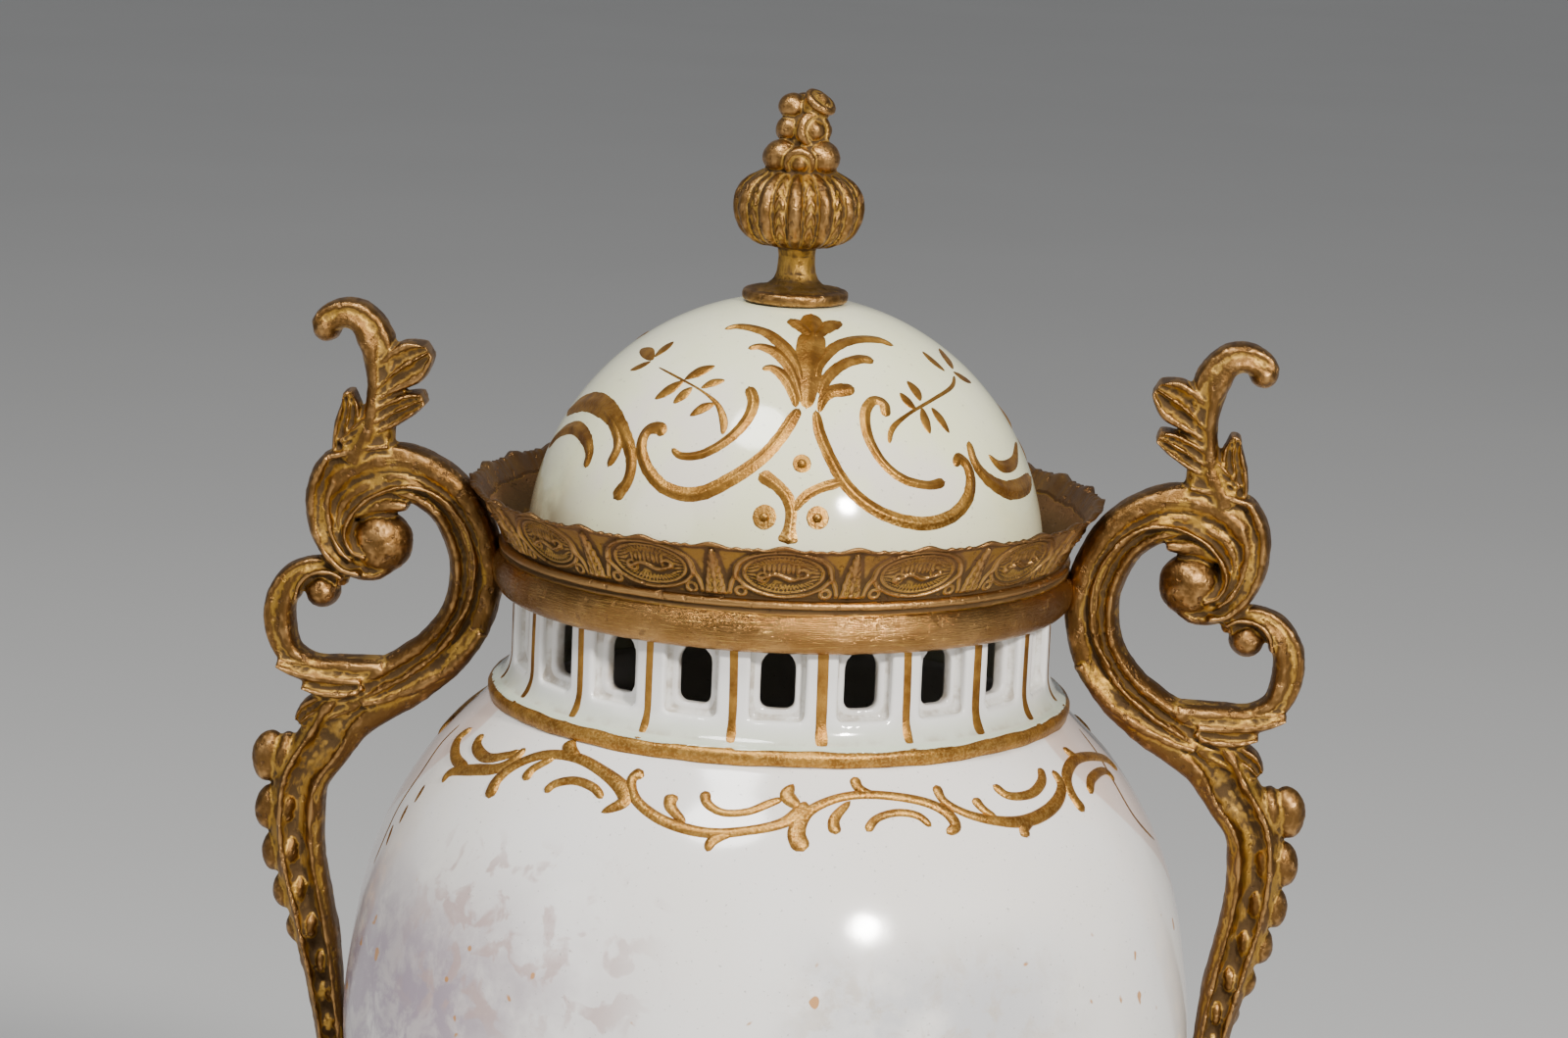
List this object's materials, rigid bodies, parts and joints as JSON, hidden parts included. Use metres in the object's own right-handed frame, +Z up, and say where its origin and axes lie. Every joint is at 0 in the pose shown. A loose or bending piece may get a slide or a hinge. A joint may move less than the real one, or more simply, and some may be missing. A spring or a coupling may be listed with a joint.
{
  "type": "amphora vase",
  "caption": "Covered amphora vase: hollow ovoid porcelain body with a pierced neck, domed lift-off lid, scalloped gilt collar, scroll handles and a spreading gilt foot.",
  "frame": {"origin": "centre of the foot's underside", "axes": "+Z up along the vase's axis, +X towards the right handle as seen from the front, front faces -Y"},
  "size_m": [0.2222, 0.177, 0.3699],
  "materials": {
    "porcelain": "glossy white glaze with raised dull gilding and soft, worn cloudy painting",
    "lid_porcelain": "glossy ivory glaze with a faint green cast and raised dull gilding",
    "gilt_bronze": "cast and gilded, satin, rubbed bright on the edges and dark in the recesses"
  },
  "bodies": {
    "root": {"vase_body": "porcelain", "lid_dome": "lid_porcelain", "rim_collar": "gilt_bronze", "finial": "gilt_bronze", "handle_left": "gilt_bronze", "handle_right": "gilt_bronze", "foot_mount": "gilt_bronze"}
  },
  "joints": []
}
